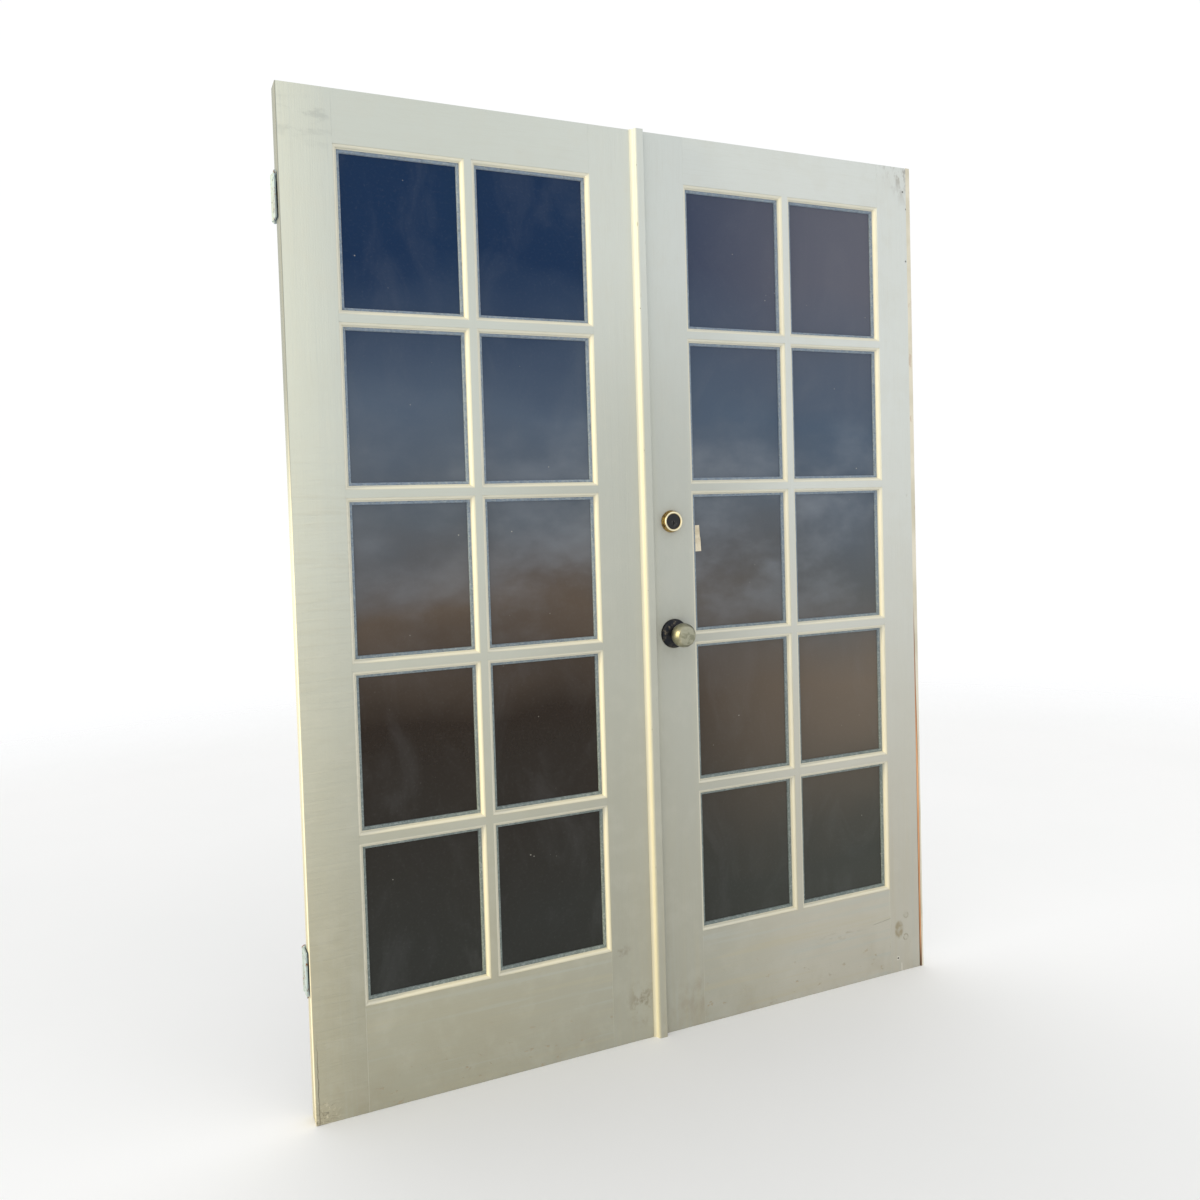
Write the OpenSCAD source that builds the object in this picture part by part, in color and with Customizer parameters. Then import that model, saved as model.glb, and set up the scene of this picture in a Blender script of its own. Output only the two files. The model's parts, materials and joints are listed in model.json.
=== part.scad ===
// Pair of painted wooden French doors, hung and closed.
// Two ten-light leaves meet under a moulded cover strip.
// The left leaf is the standing leaf, the right leaf carries the knob and the deadbolt.
// X runs along the width, Y through the thickness, Z up.
// The outside face looks towards -Y and both leaves swing towards +Y.
// Origin: middle of the meeting gap, half way through the leaf, level with the leaf bottoms.

/* [Leaves] */
// width of one leaf
leaf_w = 762; // [600:1:930]
// height of the leaves
leaf_h = 2032; // [1690:1:2450]
// thickness of the leaves
leaf_t = 44; // [36:0.5:60]
// gap between the two leaves
meeting_gap = 4; // [3.5:0.1:6]
// width of the stile that carries the hinges, to the edge of the glass opening
hinge_stile_w = 112; // [90:1:140]
// width of the stile at the meeting edge, to the edge of the glass opening
meeting_stile_w = 122; // [100:1:150]
// height of the top rail, to the edge of the glass opening
top_rail_h = 114; // [90:1:150]
// height of the bottom rail, to the edge of the glass opening
bottom_rail_h = 225; // [180:1:300]
// width of the glazing bars
bar_w = 32; // [26:1:40]
// number of glass rows
rows = 5; // [2:1:6]
// width of the packing strip on the outer edge of the right leaf
edge_strip_w = 12; // [8:0.5:16]
// gap at the foot of that strip, where it has come away
edge_strip_gap = 3; // [0:0.5:5]
// height above which the strip is still tight
edge_strip_tight_z = 720; // [200:10:1500]

/* [Mouldings] */
// width of the moulded edge around each glass opening
moulding_w = 8; // [6:0.5:10]
// small step between the face and the moulding
moulding_step = 1.5; // [1:0.1:2.5]
// radius of the moulding
moulding_r = 6.5; // [4:0.1:8]
// depth from the outside face to the front of the glass
glass_set = 15; // [12:0.5:20]
// width of the rebate that holds the glass
rebate_w = 10; // [7:0.5:12]
// thickness of the glass
glass_t = 4; // [3:0.5:6]
// play round each pane inside its rebate
glass_play = 1.5; // [0.5:0.1:2.5]
// depth of the inside glazing beads
bead_d = 23; // [14:0.5:26]
// length of the tenons on the rails
tenon_l = 60; // [30:1:80]
// thickness of the tenons
tenon_t = 12; // [8:0.5:16]

/* [Cover strip] */
// how far the strip reaches over the left leaf
strip_left = 15; // [10:0.5:20]
// how far the strip reaches over the right leaf
strip_right = 9; // [6:0.5:12]
// thickness of the strip
strip_t = 14; // [11:0.5:18]
// air between the strip's lip and the right leaf
strip_clear = 4; // [3.5:0.1:6]

/* [Hinges] */
// height of the hinge plates
hinge_h = 89; // [76:1:114]
// thickness of the hinge plates
hinge_t = 2.8; // [2:0.1:4]
// width of a plate on the door edge
hinge_plate_w = 32; // [24:1:38]
// radius of the hinge barrel
barrel_r = 6.2; // [5:0.1:7.5]
// radius of the hinge pin
hinge_pin_r = 3.2; // [2.5:0.1:4]
// height of the lower hinge centres
hinge_low_z = 298; // [200:1:500]
// distance from the leaf tops to the upper hinge centres
hinge_high_drop = 210; // [150:1:400]
// gap between the leaf edge and the jamb
jamb_gap = 3; // [2:0.1:5]
// radius of the screw holes in the hinge plates
hinge_hole_r = 2.6; // [2:0.1:3]
// distance between the two columns of holes
hinge_hole_y = 14; // [10:0.5:18]
// distance between the two rows of holes
hinge_hole_z = 62; // [50:1:80]

/* [Deadbolt] */
// height of the deadbolt's turning axis
deadbolt_z = 1164; // [1000:1:1400]
// height of the collar's centre above that axis
collar_rise = 4; // [0:0.5:6]
// distance from the leaf edge to the lock axes
backset = 60; // [55:0.5:70]
// radius of the collar at the door
collar_r = 25; // [23:0.5:30]
// radius of the collar at its front
collar_front_r = 21.5; // [20:0.5:25]
// how far the collar stands out
collar_l = 14; // [10:0.5:20]
// radius of the cylinder face
cylinder_r = 17.5; // [15:0.5:19]
// radius of the turning plug
plug_r = 6.5; // [5:0.1:7]
// thickness of the bolt
deadbolt_t = 12; // [9:0.5:13]
// height of the bolt
deadbolt_h = 16; // [12:0.5:17]
// throw of the bolt
deadbolt_throw = 25; // [15:0.5:26]

/* [Knob and latch] */
// height of the knob axis
knob_z = 914; // [800:1:1100]
// radius of the knob ball
knob_r = 27; // [22:0.5:30]
// distance from the door face to the centre of the ball
knob_reach = 45; // [40:0.5:55]
// radius of the roses
rose_r = 33; // [31:0.5:38]
// how far a rose stands out
rose_l = 12; // [8:0.5:16]
// radius of the knob's neck
neck_r = 10; // [8:0.5:12]
// width of the square spindle
spindle_w = 7.5; // [6:0.1:8]
// thickness of the latch
latch_t = 12; // [9:0.5:13]
// height of the latch
latch_h = 16; // [14:0.5:17]
// how far the latch stands out of the leaf edge
latch_throw = 12; // [9:0.5:14]

/* [Surface bolts] */
// distance from the meeting edge to the bolt rods
rod_inset = 45; // [35:1:60]
// radius of the rods
rod_r = 5; // [4:0.5:6]
// length of the rods
rod_l = 185; // [150:1:250]
// length of the back plates
bolt_plate_l = 150; // [120:1:200]
// travel of the rods
rod_throw = 18; // [12:1:22]

/* [Clearances] */
// radial clearance of turning and sliding round parts
run_play = 0.06; // [0.03:0.01:0.1]
// clearance of flat sliding parts
slide_play = 0.3; // [0.2:0.05:0.5]
// clearance of let-in fixed parts
fit_play = 0.1; // [0.05:0.05:0.3]

/* [Hidden] */
$fn = 64;
cols = 2;
eps = 0.01;
y_out = -leaf_t / 2;
y_in = leaf_t / 2;
pane_w = (leaf_w - hinge_stile_w - meeting_stile_w - (cols - 1) * bar_w) / cols;
pane_h = (leaf_h - top_rail_h - bottom_rail_h - (rows - 1) * bar_w) / rows;
glass_y = y_out + glass_set;
bead_y = glass_y + glass_t;
pane_step_u = pane_w + bar_w;
pane_step_z = pane_h + bar_w;
// hinge geometry in leaf coordinates: u = 0 is the outer edge of the leaf
hinge_zs = [hinge_low_z, leaf_h - hinge_high_drop];
barrel_u = -jamb_gap / 2;
barrel_y = y_in + barrel_r + 0.3;
knuckles = 5;
knuckle_gap = 0.3;
knuckle_l = (hinge_h - (knuckles - 1) * knuckle_gap) / knuckles;
plate_end_y = barrel_y - barrel_r - 0.4;
hole_y0 = y_in - hinge_plate_w / 2 - 1;
screw_r = hinge_hole_r - 0.2;
head_r = 4.6;
head_d = 1.7;
// lock geometry in edge coordinates: v = 0 is the meeting edge
collar_z = deadbolt_z + collar_rise;
deadbolt_bore_r = 21;
knob_bore_r = 27;
case_r = 11.4;
case_face_t = 2.4;
face_w = 25.4;
face_h = 57;
deadbolt_case_l = 72;
latch_case_l = 80;
tail_t = 2.5;
tail_h = 8;
rose_top_l = 6;
strike_t = 2;
strike_w = 32;
latch_strike_h = 57;
deadbolt_strike_h = 70;
pocket_back = 3;
tie_r = 1.8;
tie_v = 7;
tie_z = 12.5;
rod_y = y_in + 2.2 + rod_r + 1.4;
guide_h = 14;
guide_inset = 10;
bolt_screw_l = 12;

paint = [0.80, 0.80, 0.74];
pane_colour = [0.20, 0.25, 0.32, 0.45];
steel = [0.62, 0.62, 0.62];
brass = [0.66, 0.54, 0.32];
old_brass = [0.55, 0.50, 0.40];
dark_bronze = [0.13, 0.12, 0.14];

// ---------- placing ----------

module left_side() {
  translate([-(leaf_w + meeting_gap / 2), 0, 0]) children();
}

module right_side() {
  mirror([1, 0, 0]) left_side() children();
}

// edge coordinates of the right leaf: x is the distance from its meeting edge
module lock_edge(z) {
  translate([meeting_gap / 2, 0, z]) children();
}

// turns a shape made along +Z so that it runs along +Y
module along_y() {
  rotate([-90, 0, 0]) children();
}

// turns a shape made along +Z so that it runs along -Y
module along_out() {
  rotate([90, 0, 0]) children();
}

// ---------- mouldings ----------

// outline of a moulded edge: the wood lies at x < 0, the glass opening at x > 0
function moulded_edge(back_x) = concat(
  [[back_x, y_out], [-moulding_w, y_out], [-moulding_w, y_out + moulding_step]],
  [for (a = [75 : -15 : 0])
    [-moulding_w + moulding_r * cos(a), y_out + moulding_step + moulding_r * (1 - sin(a))]],
  [[0, y_out + moulding_step + moulding_r], [0, glass_y], [-rebate_w, glass_y],
    [-rebate_w, y_in], [back_x, y_in]]
);

// outline of a glazing bar: moulded on both sides
function bar_outline() =
  let (half = [for (p = moulded_edge(0)) p], last = len(half) - 2)
  concat(
    [for (i = [1 : last]) [half[i][0] + bar_w / 2, half[i][1]]],
    [for (i = [last : -1 : 1]) [-half[i][0] - bar_w / 2, half[i][1]]]
  );

// solid of a stile before anything is cut in it, opening edge at u = w
module stile_block(w) {
  translate([w, 0, 0])
    linear_extrude(height = leaf_h) polygon(moulded_edge(-w));
}

module hinge_stile_block() {
  stile_block(hinge_stile_w);
}

module meeting_stile_block() {
  translate([leaf_w, 0, 0]) mirror([1, 0, 0]) stile_block(meeting_stile_w);
}

// rail solids run the whole way between the stiles' rebates
module rail_run(w) {
  u0 = hinge_stile_w - rebate_w;
  u1 = leaf_w - meeting_stile_w + rebate_w;
  translate([u0, 0, 0])
    rotate([90, 0, 90])
      linear_extrude(height = u1 - u0)
        polygon([for (p = moulded_edge(-w)) [p[1], p[0]]]);
}

module bottom_rail_block() {
  translate([0, 0, bottom_rail_h]) rail_run(bottom_rail_h);
}

module top_rail_block() {
  translate([0, 0, leaf_h - top_rail_h]) mirror([0, 0, 1]) rail_run(top_rail_h);
}

module stile_blocks() {
  hinge_stile_block();
  meeting_stile_block();
}

// ---------- joinery ----------

// tenons at both ends of a rail, between heights z0 and z1
module tenons(z0, z1, play) {
  for (u = [hinge_stile_w - rebate_w - tenon_l, leaf_w - meeting_stile_w + rebate_w])
    translate([u - play, -tenon_t / 2 + 4 - play, z0 - play])
      cube([tenon_l + 2 * play, tenon_t + 2 * play, z1 - z0 + 2 * play]);
}

module top_tenons(play = 0) {
  tenons(leaf_h - top_rail_h + 22, leaf_h - 28, play);
}

module bottom_tenons(play = 0) {
  tenons(45, 100, play);
  tenons(140, bottom_rail_h - 25, play);
}

module top_rail() {
  difference() {
    top_rail_block();
    stile_blocks();
  }
  top_tenons();
}

module bottom_rail() {
  difference() {
    bottom_rail_block();
    stile_blocks();
  }
  bottom_tenons();
}

module hinge_stile() {
  difference() {
    hinge_stile_block();
    top_tenons(fit_play);
    bottom_tenons(fit_play);
    for (z = hinge_zs) {
      hinge_recess(z);
      hinge_screws(z, fit_play);
    }
  }
}

// the stile of the right leaf is narrower by its packing strip
module packed_hinge_stile() {
  difference() {
    hinge_stile_block();
    translate([-1, y_out - 1, -1]) cube([edge_strip_w + 1, leaf_t + 2, leaf_h + 2]);
    top_tenons(fit_play);
    bottom_tenons(fit_play);
    for (z = hinge_zs)
      hinge_screws(z, fit_play);
  }
}

module edge_strip() {
  difference() {
    translate([0, y_in, 0])
      rotate([90, 0, 0])
        linear_extrude(height = leaf_t)
          polygon([
            [0, 0], [edge_strip_w - edge_strip_gap, 0], [edge_strip_w, edge_strip_tight_z],
            [edge_strip_w, leaf_h], [0, leaf_h]
          ]);
    for (z = hinge_zs) {
      hinge_recess(z);
      hinge_screws(z, fit_play);
    }
  }
}

module meeting_stile() {
  difference() {
    meeting_stile_block();
    top_tenons(fit_play);
    bottom_tenons(fit_play);
  }
}

module upright_bar_block() {
  u = hinge_stile_w + pane_w + bar_w / 2;
  z0 = bottom_rail_h - rebate_w;
  z1 = leaf_h - top_rail_h + rebate_w;
  translate([u, 0, z0]) linear_extrude(height = z1 - z0) polygon(bar_outline());
}

module upright_bar() {
  difference() {
    upright_bar_block();
    bottom_rail_block();
    top_rail_block();
  }
}

// cross bars: one short piece on each side of the upright bar
module cross_bars() {
  for (r = [1 : rows - 1])
    for (c = [0 : cols - 1])
      difference() {
        translate([
          hinge_stile_w - rebate_w + c * pane_step_u, 0,
          bottom_rail_h + r * pane_step_z - bar_w / 2
        ])
          rotate([90, 0, 90])
            linear_extrude(height = pane_w + 2 * rebate_w)
              polygon([for (p = bar_outline()) [p[1], p[0]]]);
        if (c == 0) hinge_stile_block();
        if (c == cols - 1) meeting_stile_block();
        upright_bar_block();
      }
}

// ---------- glass and beads ----------

module pane(c, r) {
  over = rebate_w - glass_play;
  translate([
    hinge_stile_w + c * pane_step_u - over, glass_y,
    bottom_rail_h + (rows - r) * pane_step_z - over
  ])
    cube([pane_w + 2 * over, glass_t, pane_h + 2 * over]);
}

// both panes of one row, row 1 is at the top
module panes_row(r) {
  for (c = [0 : cols - 1])
    pane(c, r);
}

// outline of a bead: x = 0 is the wall of the rebate, x grows towards the glass opening
function bead_outline() = [
  [fit_play, bead_y], [rebate_w, bead_y], [rebate_w, bead_y + bead_d * 0.6],
  [rebate_w - 2, bead_y + bead_d * 0.82], [rebate_w - 5, bead_y + bead_d * 0.96],
  [rebate_w - 7, bead_y + bead_d], [fit_play, bead_y + bead_d]
];

// one bead of length l along +Z, mitred at both ends
module bead(l) {
  intersection() {
    linear_extrude(height = l) polygon(bead_outline());
    translate([0, y_in + 10, 0])
      rotate([90, 0, 0])
        linear_extrude(height = leaf_t + 20)
          polygon([
            [0, 0], [rebate_w + 1, rebate_w + 1],
            [rebate_w + 1, l - rebate_w - 1], [0, l]
          ]);
  }
}

// four beads round one pane
module bead_set() {
  w = pane_w + 2 * rebate_w;
  h = pane_h + 2 * rebate_w;
  bead(h);
  translate([w, 0, 0]) mirror([1, 0, 0]) bead(h);
  rotate([0, 90, 0]) mirror([1, 0, 0]) bead(w);
  translate([0, 0, h]) mirror([0, 0, 1]) rotate([0, 90, 0]) mirror([1, 0, 0]) bead(w);
}

module beads() {
  for (r = [0 : rows - 1])
    for (c = [0 : cols - 1])
      translate([
        hinge_stile_w - rebate_w + c * pane_step_u, 0,
        bottom_rail_h - rebate_w + r * pane_step_z
      ])
        bead_set();
}

// ---------- hinges ----------

module hinge_recess(z) {
  translate([-1, y_in - hinge_plate_w - fit_play, z - hinge_h / 2 - fit_play])
    cube([1 + hinge_t, hinge_plate_w + 1, hinge_h + 2 * fit_play]);
}

// places children at the four screw holes, looking into the wood along +X
module hinge_hole_places(z) {
  for (dy = [-1, 1])
    for (dz = [-1, 1])
      translate([0, hole_y0 + dy * hinge_hole_y / 2, z + dz * hinge_hole_z / 2])
        rotate([0, 90, 0])
          children();
}

module hinge_screws(z, play = 0) {
  hinge_hole_places(z)
    translate([0, 0, 0.2]) {
      cylinder(h = 30 + play, r = screw_r + play);
      cylinder(h = head_d - 0.2, r1 = head_r - 0.35 + play, r2 = screw_r + play);
    }
}

// knuckles from the list k, joined to a plate whose near face is at u0
module knuckle_set(k, z, u0) {
  difference() {
    for (i = k)
      translate([0, 0, z - hinge_h / 2 + i * (knuckle_l + knuckle_gap)]) {
        translate([barrel_u, barrel_y, 0]) cylinder(h = knuckle_l, r = barrel_r);
        translate([u0, plate_end_y - 2, 0])
          cube([hinge_t, barrel_y - plate_end_y + 2, knuckle_l]);
      }
    translate([barrel_u, barrel_y, z - hinge_h / 2 - 1])
      cylinder(h = hinge_h + 2, r = hinge_pin_r + run_play);
  }
}

module leaf_plate(z) {
  difference() {
    translate([0, y_in - hinge_plate_w, z - hinge_h / 2])
      cube([hinge_t, plate_end_y - y_in + hinge_plate_w, hinge_h]);
    hinge_hole_places(z)
      translate([0, 0, -1]) cylinder(h = hinge_t + 2, r = hinge_hole_r);
    hinge_hole_places(z)
      translate([0, 0, -eps]) cylinder(h = head_d, r1 = head_r, r2 = hinge_hole_r);
  }
  knuckle_set([1, 3], z, 0);
}

module jamb_plate(z) {
  u0 = -jamb_gap - hinge_t;
  difference() {
    translate([u0, y_in - hinge_plate_w, z - hinge_h / 2])
      cube([hinge_t, plate_end_y - y_in + hinge_plate_w, hinge_h]);
    hinge_hole_places(z)
      translate([0, 0, u0 - 1]) cylinder(h = hinge_t + 2, r = hinge_hole_r);
    hinge_hole_places(z)
      translate([0, 0, -jamb_gap - head_d + eps])
        cylinder(h = head_d, r1 = hinge_hole_r, r2 = head_r);
  }
  knuckle_set([0, 2, 4], z, u0);
}

module hinge_pin(z) {
  translate([barrel_u, barrel_y, z - hinge_h / 2]) {
    translate([0, 0, -1.5]) cylinder(h = hinge_h + 1.5, r = hinge_pin_r);
    translate([0, 0, -3.5]) cylinder(h = 2, r1 = 2.6, r2 = 4.4);
    translate([0, 0, -1.5]) cylinder(h = 1.5, r = 4.4);
    translate([0, 0, hinge_h]) cylinder(h = 1.5, r = 5);
    translate([0, 0, hinge_h + 1.5]) cylinder(h = 1.5, r1 = 5, r2 = 3.2);
  }
}

// ---------- cover strip ----------

module cover_strip() {
  left = -meeting_gap / 2 - strip_left;
  right = meeting_gap / 2 + strip_right;
  front = y_out - strip_t;
  nose = 5;
  cove = 7;
  difference() {
    linear_extrude(height = leaf_h)
      difference() {
        union() {
          translate([left, y_out - 1.2]) square([strip_left, 1.2]);
          translate([left + cove, front]) square([right - left - cove, strip_t]);
          translate([left, y_out - strip_t + nose]) square([cove + 1, strip_t - nose]);
        }
        // hollow on the left side
        translate([left, y_out - cove - 1.2]) circle(r = cove);
        // rounded nose beside the hollow
        difference() {
          translate([left + cove - 1, front - 1]) square([nose + 1, nose + 1]);
          translate([left + cove + nose, front + nose]) circle(r = nose);
          translate([left + cove + nose, front - 2]) square([nose, 2 * nose]);
        }
        // room over the right leaf
        translate([-meeting_gap / 2, y_out - strip_clear]) square([right + 10, strip_clear + 1]);
        // eased right corner
        translate([right, front]) rotate(45) square([1.6, 1.6], center = true);
      }
    cover_nails(fit_play);
  }
}

// fine nails, punched just below the surface
module cover_nails(play = 0) {
  for (i = [0 : 6])
    translate([
      -meeting_gap / 2 - strip_left / 3, y_out - strip_t + 1.5 - 30 * play,
      80 + i * (leaf_h - 160) / 6
    ])
      along_y() cylinder(h = 38 + 30 * play, r = 1.1 + play * 0.5, $fn = 24);
}

// ---------- deadbolt ----------

// tube with a flat face plate, and a square-cornered way for the bolt
module lock_case(l, t, h) {
  difference() {
    union() {
      translate([0, -face_w / 2 + fit_play, -face_h / 2 + fit_play])
        cube([case_face_t, face_w - 2 * fit_play, face_h - 2 * fit_play]);
      rotate([0, 90, 0]) cylinder(h = l, r = case_r);
    }
    translate([-1, -t / 2 - slide_play, -h / 2 - slide_play])
      cube([l + 2, t + 2 * slide_play, h + 2 * slide_play]);
    translate([backset, -case_r - 1, 0]) along_y() cylinder(h = 2 * case_r + 2, r = 6.2);
    for (dz = [-1, 1])
      translate([-1, 0, dz * 22])
        rotate([0, 90, 0]) cylinder(h = case_face_t + 2, r = 2.1);
  }
}

// room in the stile for a lock: cross bore, edge bore and face plate
module lock_room(z, bore_z, bore_r, l) {
  lock_edge(z) {
    translate([-1, 0, 0]) rotate([0, 90, 0]) cylinder(h = l + 1, r = case_r + fit_play);
    translate([-1, -face_w / 2, -face_h / 2]) cube([case_face_t + 1, face_w, face_h]);
  }
  lock_edge(bore_z)
    translate([backset, y_out - 1, 0]) along_y() cylinder(h = leaf_t + 2, r = bore_r);
}

module deadbolt_case() {
  lock_edge(deadbolt_z) lock_case(deadbolt_case_l, deadbolt_t, deadbolt_h);
}

module deadbolt() {
  fork = backset - 8;
  lock_edge(deadbolt_z) {
    difference() {
      translate([0.4, -deadbolt_t / 2, -deadbolt_h / 2])
        cube([backset + 6, deadbolt_t, deadbolt_h]);
      translate([fork, -deadbolt_t, -tail_h / 2 - 0.6])
        cube([backset, 2 * deadbolt_t, tail_h + 1.2]);
    }
  }
}

module deadbolt_collar() {
  lock_edge(collar_z)
    translate([backset, y_out, 0])
      along_out()
        rotate_extrude()
          polygon([
            [cylinder_r + fit_play, 0], [collar_r, 0], [collar_r, 2],
            [collar_front_r + 0.8, collar_l - 1.4], [collar_front_r, collar_l - 0.4],
            [collar_front_r - 1, collar_l], [cylinder_r + 1.4, collar_l - 0.2],
            [cylinder_r + fit_play, collar_l - 1.4]
          ]);
}

module deadbolt_cylinder() {
  difference() {
    lock_edge(collar_z)
      translate([backset, y_out + 7, 0])
        along_out() cylinder(h = collar_l + 7 - 1.6, r = cylinder_r);
    lock_edge(deadbolt_z)
      translate([backset, y_out + 8, 0])
        along_out() cylinder(h = collar_l + 10, r = plug_r + run_play);
    tie_screws(deadbolt_tie_y0(), fit_play);
  }
}

function deadbolt_tie_y0() = y_out - 2;

// two long screws that draw the inside plate to the cylinder
module tie_screws(y0, play = 0) {
  lock_edge(collar_z)
    for (dv = [-1, 1])
      translate([backset + dv * tie_v, y0, tie_z]) {
        along_y() cylinder(h = y_in + rose_top_l - 1.8 - y0, r = tie_r + play, $fn = 32);
        translate([0, y_in + rose_top_l - 1.8 - y0, 0])
          along_y() cylinder(h = 1.8 + play, r1 = tie_r + play, r2 = 3.4 + play, $fn = 32);
      }
}

module deadbolt_plug() {
  lock_edge(deadbolt_z)
    translate([backset, 0, 0]) {
      difference() {
        translate([0, y_out + 7, 0])
          along_out() cylinder(h = collar_l + 7 - 1.2, r = plug_r);
        translate([-1, y_out - collar_l - 1, -4.4]) cube([2, 6, 8.8]);
        translate([0.4, y_out - collar_l - 1, -1.6]) cube([1.4, 6, 3]);
      }
      translate([-tail_t / 2, y_out + 7 - eps, -tail_h / 2])
        cube([tail_t, leaf_t - 7, tail_h]);
    }
}

module deadbolt_inside_plate() {
  difference() {
    lock_edge(collar_z)
      translate([backset, y_in, 0])
        along_y()
          rotate_extrude()
            polygon([
              [0, 0], [collar_r, 0], [collar_r, rose_top_l - 2.5],
              [collar_r - 2.5, rose_top_l], [0, rose_top_l]
            ]);
    lock_edge(deadbolt_z)
      translate([backset, y_in - 1, 0]) along_y() cylinder(h = rose_top_l + 2, r = 6 + run_play);
    tie_screws(deadbolt_tie_y0(), fit_play);
  }
}

module thumb_turn() {
  lock_edge(deadbolt_z)
    translate([backset, 0, 0])
      difference() {
        union() {
          translate([0, y_in - 8, 0]) along_y() cylinder(h = rose_top_l + 10, r = 6);
          translate([0, y_in + rose_top_l + 0.4, 0]) along_y() cylinder(h = 3, r = 9);
          intersection() {
            translate([-3.5, y_in + rose_top_l + 2, -19]) cube([7, 18, 38]);
            translate([-20, y_in + rose_top_l + 2, 0])
              rotate([0, 90, 0]) cylinder(h = 40, r = 18);
          }
        }
        translate([-tail_t / 2 - 0.1, y_in - 9, -tail_h / 2 - 0.1])
          cube([tail_t + 0.2, 10, tail_h + 0.2]);
      }
}

// ---------- knobs and latch ----------

module rose() {
  rotate_extrude()
    difference() {
      polygon([
        [0, 0], [rose_r, 0], [rose_r, 2.2], [rose_r - 1.2, 4.2], [rose_r - 5, 7],
        [rose_r - 11, rose_l - 2.4], [neck_r + 6, rose_l - 0.6], [neck_r + 3, rose_l],
        [0, rose_l]
      ]);
      translate([0, -1]) square([neck_r + run_play, rose_l + 2]);
    }
}

// knob along +Z, the door face is at z = 0
module knob() {
  difference() {
    rotate_extrude()
      union() {
        translate([0, 1]) square([neck_r, rose_l]);
        polygon([
          [0, rose_l + 0.6], [neck_r + 2, rose_l + 0.6], [neck_r + 2, rose_l + 3],
          [neck_r - 1, rose_l + 5], [neck_r + 1, knob_reach - knob_r + 6],
          [neck_r + 6, knob_reach - 12], [0, knob_reach - 8]
        ]);
        intersection() {
          translate([0, knob_reach]) circle(r = knob_r, $fn = 96);
          translate([0, knob_reach - 19]) square([knob_r + 1, 60]);
          translate([0, knob_reach - 28]) circle(r = 50, $fn = 128);
        }
      }
    translate([-spindle_w / 2 - 0.05, -spindle_w / 2 - 0.05, -1])
      cube([spindle_w + 0.1, spindle_w + 0.1, knob_reach - 10]);
  }
}

module outside_rose() {
  lock_edge(knob_z) translate([backset, y_out, 0]) along_out() rose();
}

module inside_rose() {
  lock_edge(knob_z) translate([backset, y_in, 0]) along_y() rose();
}

module outside_knob() {
  lock_edge(knob_z) translate([backset, y_out, 0]) along_out() knob();
}

module inside_knob() {
  lock_edge(knob_z) translate([backset, y_in, 0]) along_y() knob();
}

module spindle() {
  l = leaf_t + 2 * (knob_reach - 14);
  lock_edge(knob_z)
    translate([backset - spindle_w / 2, -l / 2, -spindle_w / 2])
      cube([spindle_w, l, spindle_w]);
}

module latch_case() {
  lock_edge(knob_z) lock_case(latch_case_l, latch_t, latch_h);
}

module latch() {
  fork = backset - 18;
  lock_edge(knob_z)
    difference() {
      translate([-latch_throw, -latch_t / 2, -latch_h / 2])
        cube([backset + 5 + latch_throw, latch_t, latch_h]);
      // sloping nose towards the outside face
      translate([-latch_throw, -latch_t / 2 + 3, 0])
        rotate([0, 0, -42])
          translate([-10, -30, -latch_h]) cube([40, 30, 2 * latch_h]);
      // fork that clears the turning spindle
      translate([fork, -latch_t, -5.6]) cube([backset, 2 * latch_t, 11.2]);
    }
}

// ---------- strikes on the left leaf ----------

module strike_plate(z, h, t, bolt_h) {
  translate([-meeting_gap / 2 - strike_t, -strike_w / 2, z - h / 2])
    difference() {
      cube([strike_t, strike_w, h]);
      translate([-1, strike_w / 2 - t / 2 - 1, h / 2 - bolt_h / 2 - 1])
        cube([strike_t + 2, t + 1 + pocket_back, bolt_h + 2]);
      for (dz = [-1, 1])
        translate([-1, strike_w / 2, h / 2 + dz * (h / 2 - 8)])
          rotate([0, 90, 0]) cylinder(h = strike_t + 2, r = 2.1);
    }
}

module strike_room(z, h, t, bolt_h, deep) {
  translate([-meeting_gap / 2 - strike_t, -strike_w / 2 - fit_play, z - h / 2 - fit_play])
    cube([strike_t + 1, strike_w + 2 * fit_play, h + 2 * fit_play]);
  translate([-meeting_gap / 2 - deep, -t / 2 - 1.5, z - bolt_h / 2 - 1.5])
    cube([deep, t + 1.5 + pocket_back + 0.5, bolt_h + 3]);
}

module latch_strike() {
  strike_plate(knob_z, latch_strike_h, latch_t, latch_h);
}

module deadbolt_strike() {
  strike_plate(deadbolt_z, deadbolt_strike_h, deadbolt_t, deadbolt_h);
}

// small screws in the edge of the left leaf
module strike_screws(z, h, play = 0) {
  for (dz = [-1, 1])
    translate([-meeting_gap / 2 - 0.3, 0, z + dz * (h / 2 - 8)])
      rotate([0, -90, 0]) cylinder(h = 20 + play, r = 1.9 + play, $fn = 32);
}

// small screws in the edge of the right leaf
module face_screws(z, play = 0) {
  lock_edge(z)
    for (dz = [-1, 1])
      translate([0.3, 0, dz * 22])
        rotate([0, 90, 0]) cylinder(h = 20 + play, r = 1.9 + play, $fn = 32);
}

// ---------- surface bolts on the inside of the left leaf ----------

rod_x = -(meeting_gap / 2 + rod_inset);

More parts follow.
